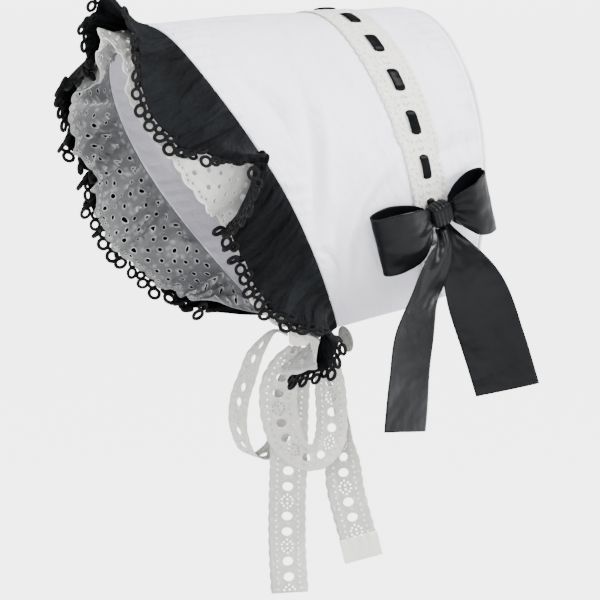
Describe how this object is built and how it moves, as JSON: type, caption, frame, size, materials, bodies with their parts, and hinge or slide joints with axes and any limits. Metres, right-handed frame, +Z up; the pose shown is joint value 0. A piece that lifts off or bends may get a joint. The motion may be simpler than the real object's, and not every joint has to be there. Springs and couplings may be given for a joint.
{
  "type": "lolita hat",
  "caption": "Cotton bonnet with a gathered ruffle round the face, a ribbon-threaded lace band, a satin bow on one side and lace ties.",
  "frame": {"origin": "inside of the crown's top, where it sits on the head", "axes": "+X to the wearer's left, +Y to the back of the head, +Z up"},
  "size_m": [0.2581, 0.3389, 0.4724],
  "materials": {
    "white_cotton": "matt woven cotton, bluish white",
    "black_cotton": "matt woven cotton",
    "white_lace": "matt cotton lace, warm white",
    "black_satin": "satin with a soft sheen",
    "black_crochet": "matt crochet thread",
    "cream_cotton": "matt plain cotton",
    "grey_plastic": "ribbed, slightly glossy"
  },
  "bodies": {
    "root": {"side_crown": "white_cotton", "back_panel": "white_cotton", "black_ruffle": "black_cotton", "eyelet_ruffle": "white_lace", "picot_edging": "black_crochet", "lace_band": "white_lace", "threaded_ribbon": "black_satin", "bow_knot": "black_satin", "bow_front_loop": "black_satin", "bow_back_loop": "black_satin", "bow_front_tail": "black_satin", "bow_back_tail": "black_satin", "tie_strap_left": "white_lace", "tie_strap_right": "white_lace", "tie_knot": "white_lace", "tie_side_loop": "white_lace", "tie_middle_loop": "white_lace", "tie_left_tail": "white_lace", "tie_right_tail": "white_lace", "tie_hem": "cream_cotton", "ribbed_tab": "grey_plastic"}
  },
  "joints": []
}
